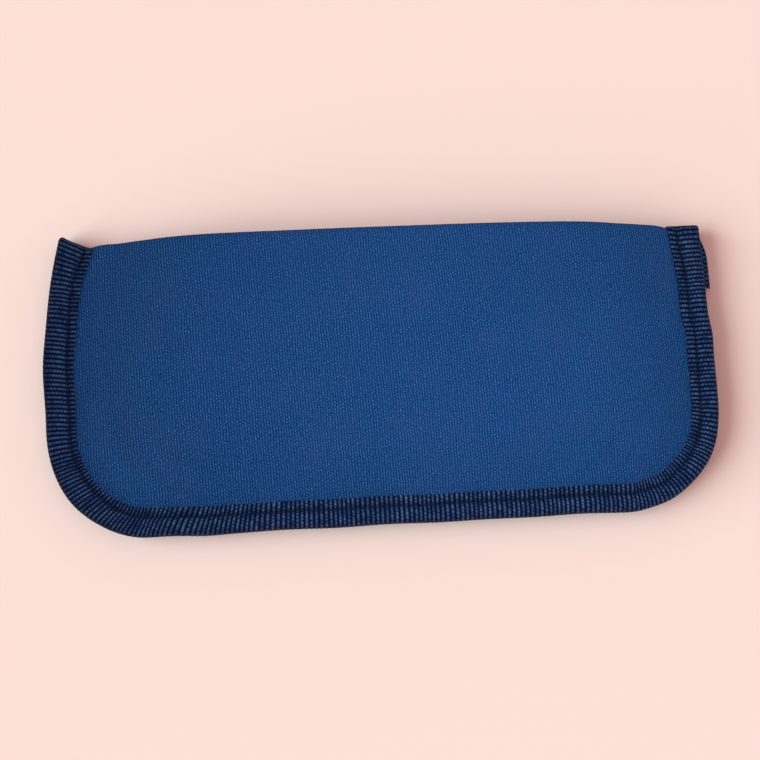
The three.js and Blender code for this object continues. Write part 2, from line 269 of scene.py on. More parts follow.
def grid_normals(grid):
    """Unit normals of a grid of points, on its left when rows run away and columns to the right."""
    down, right = np.gradient(grid, axis=0), np.gradient(grid, axis=1)
    normals = np.cross(right, down)
    return normals / np.maximum(np.linalg.norm(normals, axis=-1, keepdims=True), 1e-12)


# ---- Outline ----

def half_width(side, y, inset):
    """The case's half width at height y, left of its middle for a side under 0 and right of it over 0,
    for its outline moved in by inset."""
    draw = np.where(np.less(side, 0), LEFT_DRAW, RIGHT_DRAW) * np.maximum(0, y - WIDEST_Y) ** 2
    below = np.maximum(0, CORNER_CENTRE_Y - y) / (CORNER_Y - inset)
    return CORNER_CENTRE_X - draw + (CORNER_X - inset) * np.sqrt(np.maximum(0, 1 - below**2))


def half_edge(side, end_y):
    """Half of the sewn edge, from the bottom's middle to a height on the left, -1, or right, 1."""
    steps = np.linspace(0, 1, 300)[:, None]
    bottom = steps[:-1] * [CORNER_CENTRE_X, 0] + [0, BOTTOM_Y]
    turn = steps[:-1, 0] * math.pi / 2
    corner = np.stack(
        [CORNER_CENTRE_X + CORNER_X * np.sin(turn), CORNER_CENTRE_Y - CORNER_Y * np.cos(turn)],
        axis=1,
    )
    side_y = CORNER_CENTRE_Y + steps[:, 0] * (end_y - CORNER_CENTRE_Y)
    straight = np.stack([half_width(side, side_y, 0), side_y], axis=1)
    return np.concatenate([bottom, corner, straight]) * [side, 1]


class Edge:
    """The sewn edge from the left mouth corner round the bottom to the right one, by its length."""

    def __init__(self):
        places = np.concatenate([half_edge(-1, LEFT_END_Y)[:0:-1], half_edge(1, RIGHT_END_Y)])
        steps = np.linalg.norm(np.diff(places, axis=0), axis=1)
        self.along = np.concatenate([[0], np.cumsum(steps)])
        self.length = self.along[-1]
        tangents = np.gradient(places, axis=0)
        tangents /= np.linalg.norm(tangents, axis=1, keepdims=True)
        self.tangents = tangents
        inward = np.stack([-tangents[:, 1], tangents[:, 0]], axis=1)
        wobble = WAVER * ripple(self.along, 3, 34 * MM)
        for x, y, amount, reach in BULGES:
            off = np.linalg.norm(places - [x, y], axis=1) / reach
            wobble -= amount * np.exp(-off * off)
        self.places = places + inward * wobble[:, None]
        self.inward = inward

    def look_up(self, table, along):
        """A table's value at lengths along the edge."""
        return np.stack([np.interp(along, self.along, table[:, k]) for k in range(2)], axis=-1)


edge = Edge()


def nearest_edge():
    tree = KDTree(len(edge_samples))
    for i, (x, y) in enumerate(edge_samples):
        tree.insert((x, y, 0), i)
    tree.balance()
    return tree


edge_samples = np.concatenate([half_edge(-1, LIP_Y), half_edge(1, LIP_Y)])
edge_tree = nearest_edge()


def seam_distance(x, y):
    """The distance from places inside the case to its sewn edge."""
    x, y = np.broadcast_arrays(x, y)
    found = [edge_tree.find((a, b, 0))[2] for a, b in zip(x.ravel(), y.ravel())]
    return np.array(found).reshape(x.shape)


def lip_y(across):
    """The lip's height at a fraction across the case, from -1 at its left to 1 at its right."""
    drop = np.where(np.less(across, 0), LIP_DROP_LEFT, LIP_DROP_RIGHT)
    curve = np.minimum(np.abs(across) / LIP_LEVEL, 1) ** 3
    return LIP_Y - drop * curve - LIP_END_DROP * smooth(np.abs(across), LIP_END_START, 1)


# ---- Panels ----

def front_face(distance):
    """The height of the front panel's outer face at a distance from the sewn edge."""
    climb = np.clip((distance - RISE_START) / RISE_RUN, 0, 1)
    return SEAM_Z + PLY_GAP / 2 + PRESSED + CROWN * (1 - (1 - climb) ** RISE_POWER)


def back_face(distance):
    """The same for the back panel, which lies flat on the surface inside its border."""
    flat = smooth(distance, PRESS_END, BACK_FLAT)
    return (SEAM_Z - PLY_GAP / 2 - PRESSED) * (1 - flat) + BACK_LIFT


settled_rise = None  # how much higher the front shell lies at a grid over it, once it has settled


def spline_shares(place):
    """The three grid lines nearest to each place and their shares in a smooth curve through them."""
    nearest = np.rint(place).astype(int)
    off = place - nearest
    shares = ((0.5 - off) ** 2 / 2, 0.75 - off**2, (0.5 + off) ** 2 / 2)
    return [(nearest + step, share) for step, share in zip((-1, 0, 1), shares)]


def settled_height(x, y):
    """How much higher the settled front shell lies at places on it."""
    if settled_rise is None:
        return 0
    across = x / half_width(x, y, EDGE_INSET)
    bottom = BOTTOM_Y + EDGE_INSET
    top = np.interp(across, FRONT.across, FRONT.roll_start)
    row = np.clip((y - bottom) / (top - bottom), 0, 1) * (SETTLE_ROWS - 1)
    column = np.clip((across + 1) / 2, 0, 1) * (SETTLE_COLUMNS - 1)
    row, column = np.broadcast_arrays(row, column)
    total = 0
    for rows, row_share in spline_shares(row):
        for columns, column_share in spline_shares(column):
            rise = settled_rise[rows.clip(0, SETTLE_ROWS - 1), columns.clip(0, SETTLE_COLUMNS - 1)]
            total = total + rise * row_share * column_share
    return total


class Panel:
    """One padded panel as a grid of places: columns across the case, rows up its face."""

    COLUMNS = 151
    FACE_ROWS = 72
    ROLL_ROWS = 15
    FACING_ROWS = 12

    def __init__(self, face, inward, full_pad, seed):
        self.face, self.inward, self.full_pad, self.seed = face, inward, full_pad, seed
        even = np.linspace(-1, 1, self.COLUMNS)
        self.across = (even + np.sin(even * math.pi / 2)) / 2
        lip = lip_y(self.across)
        edge_of_lip = seam_distance(self.across * half_width(self.across, lip, EDGE_INSET), lip)
        self.half_lip = self.thickness(edge_of_lip) / 2
        self.roll_start = lip - LIP_ROUND * self.half_lip / (PANEL / 2)

    def thickness(self, distance):
        return PRESSED + (PANEL - PRESSED) * smooth(distance, PRESS_END, self.full_pad)

    def face_rows(self, first, last, count):
        """Heights of rows between two heights given for each column, closer together below."""
        climb = 1 - np.cos(np.linspace(0, math.pi / 2, count))
        climb = (climb + np.linspace(0, 1, count)) / 2
        return first + climb[:, None] * (last - first)

    def unevenness(self, x, y, distance):
        """Small smooth hollows and bumps of the padding, none at the seam."""
        bumps = ripple(x + 0.4 * y, self.seed, 46 * MM) + ripple(y - 0.3 * x, self.seed + 1, 38 * MM)
        bumps = LUMP * bumps * smooth(distance, 10 * MM, 24 * MM)
        for fall_x, fall_y, fall, radius in CORNER_FALLS:
            near = np.exp(-((x - fall_x) ** 2 + (y - fall_y) ** 2) / radius**2)
            bumps = bumps - fall * near * smooth(distance, PRESS_END, FREE_START)
        return bumps + settled_height(x, y) * smooth(distance, PRESS_END, PRESS_END + 3 * MM)

    def outer_at(self, across, rows_y):
        """The outer face, and its seam distance, at fractions across the case and heights."""
        x = across * half_width(across, rows_y, EDGE_INSET)
        distance = seam_distance(x, rows_y)
        bumps = self.unevenness(x, rows_y, distance) if self.inward < 0 else 0
        return np.stack([x, rows_y, self.face(distance) + bumps], axis=-1), distance

    def outer(self, rows_y):
        return self.outer_at(self.across, rows_y)

    def inner(self, rows_y):
        points, distance = self.outer(rows_y)
        points[..., 2] += self.inward * self.thickness(distance)
        return points, distance

    def skin(self):
        """The panel's whole outer skin: up its face, round the lip and down the inside."""
        bottom = np.full(self.COLUMNS, BOTTOM_Y + EDGE_INSET)
        face, _ = self.outer(self.face_rows(bottom, self.roll_start, self.FACE_ROWS))
        middle = face[-1].copy()
        middle[:, 2] += self.inward * self.half_lip
        turn = np.linspace(math.pi / 2, -math.pi / 2, self.ROLL_ROWS)[1:-1, None]
        roll = np.broadcast_to(middle, (self.ROLL_ROWS - 2, *middle.shape)).copy()
        roll[..., 1] += (LIP_ROUND * self.half_lip / (PANEL / 2)) * np.cos(turn)
        roll[..., 0] = self.across * half_width(self.across, roll[..., 1], EDGE_INSET)
        roll[..., 2] -= self.inward * self.half_lip * np.sin(turn)
        down = np.linspace(0, FACING, self.FACING_ROWS)[:, None]
        facing, _ = self.inner(self.roll_start - down)
        return np.concatenate([face, roll, facing])


FRONT = Panel(front_face, -1, FRONT_FULL, 11)
BACK = Panel(back_face, 1, BACK_FULL, 17)


def settle():
    """Lets the front shell settle as cloth over the air and padding under it, held along its seams
    and its lip. Stores how much higher it comes to lie at a grid of places over the panel."""
    sides = np.linspace(-1, 1, SETTLE_COLUMNS)
    top = np.interp(sides, FRONT.across, FRONT.roll_start)
    bottom = BOTTOM_Y + EDGE_INSET
    y = bottom + np.linspace(0, 1, SETTLE_ROWS)[:, None] * (top - bottom)
    upper, distance = FRONT.outer_at(sides, y)
    lower = upper.copy()
    lower[..., 2] = SEAM_Z
    start = upper.copy()
    start[..., 2] -= SETTLE_START * np.maximum(start[..., 2] - HELD_HIGH.z, 0)
    held = distance < HELD_END
    held[-1] = True
    start[held] = upper[held]
    number = np.arange(upper[..., 0].size).reshape(y.shape)
    below = number + number.size
    points = np.concatenate([start.reshape(-1, 3), lower.reshape(-1, 3)])
    mesh = solid_mesh("settling", points, closed_faces(number, below))
    sheet = bpy.data.objects.new("settling", mesh)
    scene = bpy.context.scene
    scene.collection.objects.link(sheet)
    pins = sheet.vertex_groups.new(name="held")
    pins.add(number[held].tolist() + below.ravel().tolist(), 1.0, "REPLACE")
    cloth = sheet.modifiers.new("cloth", "CLOTH")
    cloth.settings.quality = 6
    cloth.settings.mass = SETTLE_MASS
    cloth.settings.use_pressure = True
    cloth.settings.uniform_pressure_force = SETTLE_PRESSURE
    cloth.settings.shrink_min = -SETTLE_SLACK
    cloth.settings.vertex_group_mass = "held"
    cloth.settings.effector_weights.gravity = 0
    cloth.collision_settings.use_collision = False
    for frame_number in range(1, SETTLE_FRAMES + 1):
        scene.frame_set(frame_number)
    shaped = sheet.evaluated_get(bpy.context.evaluated_depsgraph_get())
    moved = np.empty(points.size, dtype=np.float32)
    shaped.data.vertices.foreach_get("co", moved)
    moved = moved.reshape(-1, 3)[: number.size]
    scene.frame_set(1)
    bpy.data.objects.remove(sheet)
    rise = moved[:, 2].reshape(y.shape) - upper[..., 2]
    return SETTLE_MOST * np.tanh(rise / SETTLE_MOST) * smooth(top - y, 0, SETTLE_FADE)


def yarn_coordinates(skin, start_row):
    """Distances across and up the cloth itself, so that its yarns keep their pitch over the swell."""
    steps_up = np.linalg.norm(np.diff(skin[..., 1:], axis=0), axis=-1)
    up = np.concatenate([np.zeros((1, skin.shape[1])), np.cumsum(steps_up, axis=0)])
    up += skin[start_row, :, 1] - up[start_row]
    steps_across = np.linalg.norm(np.diff(skin[..., [0, 2]], axis=1), axis=-1)
    across = np.concatenate([np.zeros((skin.shape[0], 1)), np.cumsum(steps_across, axis=1)], axis=1)
    across -= across[:, skin.shape[1] // 2, None]
    return np.stack([across, up], axis=-1)


def edge_rounding(count, steps=2):
    """Shares of the thickness at rows near both ends of a sheet, so that its cut edges are round."""
    share = np.ones(count)
    for i in range(steps):
        share[i] = share[-1 - i] = math.sin(math.pi / 2 * (i + 0.6) / (steps + 0.6))
    return share[:, None, None]


def panel_shell(name, panel, material):
    skin = panel.skin()
    normals = grid_normals(skin)
    if normals[10, panel.COLUMNS // 2, 2] * panel.inward > 0:
        normals = -normals
    rounding = edge_rounding(len(skin))
    middle = skin - normals * CLOTH / 2
    outer = middle + normals * rounding * CLOTH / 2
    inner = middle - normals * rounding * CLOTH / 2
    coordinates = yarn_coordinates(skin, panel.FACE_ROWS // 2)
    return thick_sheet(name, outer, inner, coordinates, material)


def panel_foam(name, panel, material):
    """The foam between shell and lining, up to a rounded end inside the lip."""
    rows = 50
    bottom = np.full(panel.COLUMNS, BOTTOM_Y + EDGE_INSET + FOAM_INSET)
    heights = panel.face_rows(bottom, panel.roll_start, rows)
    outer, distance = panel.outer(heights)
    inner, _ = panel.inner(heights)
    under_facing = smooth(heights, panel.roll_start - FACING - FACING_OVERLAP, panel.roll_start - FACING)
    outer[..., 2] += panel.inward * (CLOTH + PLY_GAP)
    inner[..., 2] -= panel.inward * (CLOTH + PLY_GAP) * (1 + under_facing)
    end_outer, end_inner = outer[-1:].copy(), inner[-1:].copy()
    reach = (LIP_ROUND - FOAM_FROM_LIP) * panel.half_lip / (PANEL / 2)
    for end, other in ((end_outer, inner[-1:]), (end_inner, outer[-1:])):
        end[..., 1] += reach
        end[..., 2] = 0.7 * end[..., 2] + 0.3 * other[..., 2]
    outer, inner = np.concatenate([outer, end_outer]), np.concatenate([inner, end_inner])
    return thick_sheet(name, outer, inner, outer[..., :2], material)


def panel_lining(name, panel, material):
    """The lining: the inner face from the bottom seam to a little way up under the facing."""
    rows = 60
    bottom = np.full(panel.COLUMNS, BOTTOM_Y + EDGE_INSET)
    facing_edge = panel.roll_start - FACING
    top = facing_edge + FACING_OVERLAP
    heights = panel.face_rows(bottom, top, rows)
    visible, _ = panel.inner(heights)
    tucked = smooth(heights, facing_edge - 1.5 * MM, facing_edge - 0.2 * MM)
    visible[..., 2] -= panel.inward * (CLOTH + PLY_GAP / 2) * tucked
    hidden = visible.copy()
    hidden[..., 2] -= panel.inward * CLOTH
    return thick_sheet(name, visible, hidden, visible[..., :2], material)


# ---- Tape ----

LEAF_HEIGHT = PRESSED + PLY_GAP * 1.5 + TAPE / 2  # of each leaf's middle from the seam's middle
TAIL_INNER = -LEAF_HEIGHT - TAPE - 0.1 * MM  # heights of the turned tail's two layers
TAIL_OUTER = TAIL_INNER - TAPE - 0.04 * MM
TURN_LENGTH = 7.2 * MM  # tape taken up by the turn at each end


def leaf_width(along):
    places, widths = np.array(LEAF_WIDTHS).T
    return np.interp(along, places * edge.length, widths) + WAVER * ripple(along, 5, 30 * MM)


def stitches_closer(along):
    """How much closer to the front leaf's edge the stitches run than elsewhere."""
    return STITCH_CLOSER * smooth(along, 8 * MM, 40 * MM) * (1 - smooth(along, 70 * MM, 105 * MM))


def stitch_depth(along):
    """How far in from the case's edge the stitches run."""
    return leaf_width(along) - STITCH_FROM_LEAF_EDGE + stitches_closer(along)


def stitch_valley(depth, along):
    """1 on the stitch line, falling to 0 beside it."""
    off = (depth - stitch_depth(along)) / VALLEY_HALF_WIDTH
    return np.exp(-off * off)


def tape_stations():
    """Lengths along the whole tape, from the left tail's raw end to the right one's, by ribs."""
    total = LEFT_TAIL + TURN_LENGTH + edge.length + TURN_LENGTH + RIGHT_TAIL
    ribs = round(total / RIB_PITCH)
    phase = np.linspace(0, ribs, ribs * RIB_SAMPLES + 1)
    along = phase / ribs * total
    return phase, along + 0.25 * MM * ripple(along, 7, 17 * MM) * smooth(along, 0, 2 * MM)


def section_shares():
    """Places round the tape's section: its front leaf from edge to fold, the fold, the back leaf."""
    closer_to_edge = 1.6
    front = np.linspace(0, 1, FRONT_POINTS) ** closer_to_edge
    turns = np.linspace(0, math.pi, FOLD_POINTS + 2)[1:-1]
    back = 1 - np.linspace(1, 0, BACK_POINTS) ** closer_to_edge
    return front, turns, back


def rib_lean(along):
    """How far the ribs lean over along the edge for each unit in from it."""
    share = along / edge.length
    left_corner = 0.5 * np.exp(-(((share - 0.31) / 0.075) ** 2))
    return left_corner + 0.1 * np.exp(-(((share - 0.11) / 0.05) ** 2))


def tape_middle():
    """The tape's middle surface: stations by section. Also its rib phase, the way round the section,
    how strong its ribs are and how much closer its stitches run to its edge."""
    phase, tape_along = tape_stations()
    left_turn, case_start = LEFT_TAIL, LEFT_TAIL + TURN_LENGTH
    case_end = case_start + edge.length
    right_tail = case_end + TURN_LENGTH
    # How far each station is down a tail, and its turn over the end from 0 on top to pi below.
    down_tail = np.maximum(left_turn - tape_along, 0) + np.maximum(tape_along - right_tail, 0)
    turn = np.clip((case_start - tape_along) / TURN_LENGTH, 0, 1)
    turn = math.pi * np.maximum(turn, np.clip((tape_along - case_end) / TURN_LENGTH, 0, 1))
    on_right = tape_along > (case_start + case_end) / 2
    along = np.clip(tape_along - case_start, 0, edge.length)
    along = np.where(on_right, along - down_tail, along + down_tail)

    front, turns, back = section_shares()
    width = leaf_width(along)[:, None]
    fold = (TAPE_FOLD - (TAPE_FOLD - TURNED_FOLD) * turn / math.pi)[:, None]
    back_width = BACK_LEAF + (width - BACK_LEAF) * (turn / math.pi)[:, None]
    front_depth = width + (fold - width) * front
    fold_depth = TAPE / 2 + (fold - TAPE / 2) * (1 - np.sin(turns))
    back_depth = fold + (back_width - fold) * back
    depth = np.concatenate([front_depth, fold_depth, back_depth], axis=1)
    # 1 on the front leaf, -1 on the back leaf.
    side = np.concatenate([np.ones_like(front), np.cos(turns), -np.ones_like(back)])

    # The two leaves' heights and reach past the end.
    outer_middle, outer_half = (LEAF_HEIGHT + TAIL_OUTER) / 2, (LEAF_HEIGHT - TAIL_OUTER) / 2
    inner_middle, inner_half = (TAIL_INNER - LEAF_HEIGHT) / 2, (-LEAF_HEIGHT - TAIL_INNER) / 2
    front_z = (outer_middle + outer_half * np.cos(turn))[:, None]
    back_z = (inner_middle + inner_half * np.cos(turn))[:, None]
    front_past = (TAIL_TURN * np.sin(turn))[:, None]
    back_past = (INNER_TURN * np.sin(turn))[:, None]
    share = (side + 1) / 2
    z = back_z + (front_z - back_z) * share
    past = back_past + (front_past - back_past) * share
    at_left_end = np.where(on_right, 0, 1 - smooth(along, 0, 14 * MM))[:, None]
    slant = LEFT_SLANT * (SLANT_PIVOT - np.minimum(depth, SLANT_END))
    past = past + (slant + LEFT_POINT * np.exp(-depth / (2 * MM))) * at_left_end

    # Ribs lean a little, and the right tail swings out.
    lean = rib_lean(along)[:, None] * (depth - 5 * MM) * (1 - turn[:, None] / math.pi)
    spot = along[:, None] + lean
    place = edge.look_up(edge.places, spot)
    inward = edge.look_up(edge.inward, spot)
    tangent = edge.look_up(edge.tangents, spot)
    swing = np.where(on_right, TAIL_PEEK * smooth(down_tail, -4 * MM, 7 * MM), -TAIL_HIDE)[:, None]
    swing = swing * (turn[:, None] / math.pi)
    sign = np.where(on_right, 1, -1)[:, None, None]
    flat = place + inward * (depth - swing)[..., None] + sign * tangent * past[..., None]

    on_case = 1 - smooth(turn, 0, 0.6)[:, None]
    front_leaf = on_case * np.clip(side, 0, 1)
    back_leaf = np.clip(-side, 0, 1)
    z = z + front_leaf * (front_face(depth) - front_face(0))
    valley = stitch_valley(depth, along[:, None])
    z = z - VALLEY * valley * front_leaf + 0.5 * VALLEY * valley * back_leaf
    z = z + TAPE_PUFF * front_leaf * np.exp(-(((depth - TAPE_PUFF_DEPTH) / TAPE_PUFF_HALF_WIDTH) ** 2))
    middle = np.concatenate([flat, (SEAM_Z + z)[..., None]], axis=-1)
    steps = np.linalg.norm(np.diff(middle, axis=1), axis=-1)
    round_it = np.concatenate([np.zeros((len(along), 1)), np.cumsum(steps, axis=1)], axis=1)
    rim = np.exp(-((depth / (0.8 * MM)) ** 2))
    quiet = (1 - 0.6 * valley * np.abs(side)) * (1 - 0.75 * rim)
    return middle, phase, round_it, quiet, stitches_closer(along)[:, None]


def tape_piece(name, material):
    middle, phase, round_it, quiet, closer = tape_middle()
    normals = grid_normals(middle)
    if normals[len(phase) // 2, 4, 2] < 0:
        normals = -normals
    sections = middle.shape[1]
    ridge = np.abs(np.cos(math.pi * phase))[:, None] ** 0.7
    relief = RIB_RELIEF * (ridge - 0.5) * quiet
    from_edge = np.minimum(round_it, round_it[:, -1:] - round_it)
    rounding = np.sqrt(np.clip(1 - (1 - from_edge / LEAF_EDGE_ROUND) ** 2, 0.15, 1))
    rounding[from_edge > LEAF_EDGE_ROUND] = 1
    half = (TAPE / 2 * rounding)[..., None]
    outer = middle + normals * (half + relief[..., None])
    # The ribs' ends make both leaf edges scalloped.
    across = np.gradient(middle, axis=1)
    across /= np.linalg.norm(across, axis=-1, keepdims=True)
    scallop = SCALLOP * (ridge - 0.5) * np.exp(-from_edge / SCALLOP_REACH)
    outward_sign = np.where(np.arange(sections) < sections / 2, -1, 1)
    outer += across * (scallop * outward_sign)[..., None]
    # The tails' raw ends are frayed.
    random = np.random.default_rng(29)
    for end, step in ((0, 1), (-1, -1)):
        outward = outer[end] - outer[end + 3 * step]
        outward /= np.linalg.norm(outward, axis=1, keepdims=True)
        outer[end] += outward * (TAIL_FRAY * random.uniform(-1, 1, sections))[:, None]
    inner_columns = np.unique(np.linspace(0, sections - 1, 11).round().astype(int))
    inner = (middle - normals * half)[:, inner_columns]

    upper = np.arange(outer.shape[0] * sections).reshape(-1, sections)
    lower = upper.size + np.arange(inner.shape[0] * len(inner_columns)).reshape(-1, len(inner_columns))
    faces = []
    add_faces(faces, upper)
    add_faces(faces, lower, flip=True)
    for column in (0, -1):
        add_faces(faces, np.stack([upper[:, column], lower[:, column]]))
    for end in (0, -1):
        faces.append([*upper[end].tolist(), *lower[end][::-1].tolist()])
    points = np.concatenate([outer.reshape(-1, 3), inner.reshape(-1, 3)])
    phase_grid = np.broadcast_to(phase[:, None], round_it.shape)
    coordinates = np.stack([phase_grid, (round_it + closer) / MM], axis=-1)
    both = np.concatenate([coordinates.reshape(-1, 2), coordinates[:, inner_columns].reshape(-1, 2)])
    return make_object(name, points, faces, both, material)


# ---- Stitches ----

def stitches(name, line, up, material):
    """A row of separate stitches along a line of points, each diving into the cloth at both ends."""
    lengths = np.concatenate([[0], np.cumsum(np.linalg.norm(np.diff(line, axis=0), axis=1))])
    count = int(lengths[-1] / STITCH_LENGTH)
    pitch = lengths[-1] / count
    angles = np.linspace(0, 2 * math.pi, STITCH_SIDES, endpoint=False)
    share = np.linspace(0, 1, STITCH_RINGS)
    arch = np.sin(math.pi * share) ** 0.5
    random = np.random.default_rng(23)
    points, faces, coordinates = [], [], []

    def at(table, s):
        return np.stack([np.interp(s, lengths, table[:, k]) for k in range(3)], axis=-1)

    for i in range(count):
        start = i * pitch + STITCH_GAP / 2 + random.uniform(-0.05, 0.05) * MM
        s = start + share * (pitch - STITCH_GAP)
        upward = at(up, s)
        centre = at(line, s) + upward * ((arch - 1) * STITCH_DIVE)[:, None]
        along = np.gradient(centre, axis=0)
        along /= np.linalg.norm(along, axis=1, keepdims=True)
        sideways = np.cross(along, upward)
        sideways /= np.linalg.norm(sideways, axis=1, keepdims=True)
        lift = np.cross(sideways, along)
        slant = random.uniform(-0.12, 0.12) * MM
        centre = centre + sideways * (slant * (share - 0.5))[:, None]
        radius = THREAD_RADIUS * (0.75 + 0.25 * arch)
        first = len(points) * STITCH_SIDES * STITCH_RINGS
        ring = (
            centre[:, None]
            + sideways[:, None] * (np.cos(angles)[None, :, None] * radius[:, None, None])
            + lift[:, None] * (np.sin(angles)[None, :, None] * radius[:, None, None])
        )
        points.append(ring.reshape(-1, 3))
        numbers = first + np.arange(STITCH_SIDES * STITCH_RINGS).reshape(STITCH_RINGS, STITCH_SIDES)
        add_faces(faces, np.concatenate([numbers, numbers[:, :1]], axis=1))
        faces.append(numbers[0].tolist())
        faces.append(numbers[-1][::-1].tolist())
        turn_share = np.broadcast_to(angles / (2 * math.pi), numbers.shape)
        length_share = np.broadcast_to((s / MM)[:, None], numbers.shape)
        coordinates.append(np.stack([length_share, turn_share], axis=-1).reshape(-1, 2))
    return make_object(name, np.concatenate(points), faces, np.concatenate(coordinates), material)


def tape_stitch_line(side):
    """The stitch line on the front leaf, side 1, or on the back leaf and the tails, side -1."""
    along = np.linspace(1 * MM, edge.length - 1 * MM, 1500)
    depth = stitch_depth(along)
    flat = edge.look_up(edge.places, along) + edge.look_up(edge.inward, along) * depth[:, None]
    if side > 0:
        height = LEAF_HEIGHT + TAPE / 2 - VALLEY + THREAD_RADIUS * 0.7 + np.zeros_like(along)
    else:
        on_tail = 1 - smooth(along, LEFT_TAIL, LEFT_TAIL + 1.5 * MM)
        on_tail += smooth(along, edge.length - RIGHT_TAIL - 1.5 * MM, edge.length - RIGHT_TAIL)
        height = -LEAF_HEIGHT - TAPE / 2 + 0.5 * VALLEY - THREAD_RADIUS * 0.7
        height = height + (TAIL_OUTER + LEAF_HEIGHT) * on_tail
    line = np.concatenate([flat, (SEAM_Z + height)[:, None]], axis=1)
    up = np.broadcast_to([0.0, 0.0, float(side)], line.shape)
    return line, up


def facing_stitch_line(panel):
    """The line of stitches that holds a panel's facing to its lining."""
    across = np.linspace(-0.88, 0.88, 400)
    start = np.interp(across, panel.across, panel.roll_start)
    y = start - FACING + FACING_SEAM
    x = across * half_width(across, y, EDGE_INSET)
    distance = seam_distance(x, y)
    bumps = panel.unevenness(x, y, distance) if panel.inward < 0 else 0
    z = panel.face(distance) + bumps
    z = z + panel.inward * (panel.thickness(distance) + 0.6 * THREAD_RADIUS)
    line = np.stack([x, y, z], axis=1)
    up = np.broadcast_to([0.0, 0.0, float(panel.inward)], line.shape)
    return line, up


# ---- Materials ----

class Graph:
    """Builds one material's nodes. Numbers and sockets can both be given as inputs."""

    def __init__(self, name, roughness=0.8, sheen=0.0, sheen_roughness=0.5, specular=0.3):
        self.material = bpy.data.materials.new(name)
        self.material.use_nodes = True
        self.tree = self.material.node_tree
        self.shader = self.tree.nodes["Principled BSDF"]
        self.shader.inputs["Roughness"].default_value = roughness
        self.shader.inputs["Sheen Weight"].default_value = sheen
        self.shader.inputs["Sheen Roughness"].default_value = sheen_roughness
        self.shader.inputs["Specular IOR Level"].default_value = specular

    def put(self, socket, value):
        if isinstance(value, bpy.types.NodeSocket):
            self.tree.links.new(value, socket)
        else:
            socket.default_value = value

    def math(self, operation, *values):
        node = self.tree.nodes.new("ShaderNodeMath")
        node.operation = operation
        for socket, value in zip(node.inputs, values):
            self.put(socket, value)
        return node.outputs[0]

    def texture_place(self):
        node = self.tree.nodes.new("ShaderNodeUVMap")
        node.uv_map = "cloth"
        split = self.tree.nodes.new("ShaderNodeSeparateXYZ")
        self.tree.links.new(node.outputs[0], split.inputs[0])
        return split.outputs[0], split.outputs[1], node.outputs[0]

    def object_place(self):
        return self.tree.nodes.new("ShaderNodeTexCoord").outputs["Object"]

    def noise(self, place, scale, detail=2.0, roughness=0.5):
        node = self.tree.nodes.new("ShaderNodeTexNoise")
        self.put(node.inputs["Vector"], place)
        node.inputs["Scale"].default_value = scale
        node.inputs["Detail"].default_value = detail
        node.inputs["Roughness"].default_value = roughness
        return node.outputs[0]

    def stretched(self, place, x, y):
        node = self.tree.nodes.new("ShaderNodeVectorMath")
        node.operation = "MULTIPLY"
        self.put(node.inputs[0], place)
        node.inputs[1].default_value = (x, y, 1.0)
        return node.outputs[0]

    def fit(self, value, low, high, to_low=0.0, to_high=1.0):
        node = self.tree.nodes.new("ShaderNodeMapRange")
        for socket, number in zip(node.inputs, (value, low, high, to_low, to_high)):
            self.put(socket, number)
        return node.outputs[0]

    def mix(self, factor, a, b, blend="MIX"):
        node = self.tree.nodes.new("ShaderNodeMix")
        node.data_type = "RGBA"
        node.blend_type = blend
        for socket, value in zip((node.inputs[0], node.inputs[6], node.inputs[7]), (factor, a, b)):
            self.put(socket, (*value, 1) if isinstance(value, tuple) else value)
        return node.outputs[2]

    def finish(self, color, height, distance, roughness=None):
        """Connects colour, roughness and a bump of height times distance in metres."""
        self.put(self.shader.inputs["Base Color"], color)
        if roughness is not None:
            self.put(self.shader.inputs["Roughness"], roughness)
        bump = self.tree.nodes.new("ShaderNodeBump")
        bump.inputs["Strength"].default_value = 1.0
        bump.inputs["Distance"].default_value = distance
        self.put(bump.inputs["Height"], height)
        self.tree.links.new(bump.outputs[0], self.shader.inputs["Normal"])
        return self.material


def linear(red, green, blue):
    """A colour given as shown on screen, in 0 to 255, as the linear one that a shader takes."""
    return tuple(
        (c / 255 / 12.92) if c / 255 <= 0.04045 else ((c / 255 + 0.055) / 1.055) ** 2.4
        for c in (red, green, blue)
    )


def yarn(graph, position, other, parity_sign):
    """One system of a plain weave's yarns: its height where it crosses over and under the other."""
    number = graph.math("FLOOR", position)
    off_centre = graph.math("SUBTRACT", graph.math("FRACT", position), 0.5)
    squared = graph.math("MULTIPLY", graph.math("MULTIPLY", off_centre, off_centre), 3.6)
    round_top = graph.math("SQRT", graph.math("MAXIMUM", graph.math("SUBTRACT", 1.0, squared), 0.0))
    phase = graph.math("MULTIPLY", graph.math("ADD", graph.math("SUBTRACT", other, 0.5), number), math.pi)
    wave = graph.math("MULTIPLY", graph.math("COSINE", phase), parity_sign * 0.55)
    return graph.math("ADD", graph.math("MULTIPLY", round_top, 0.45), wave)


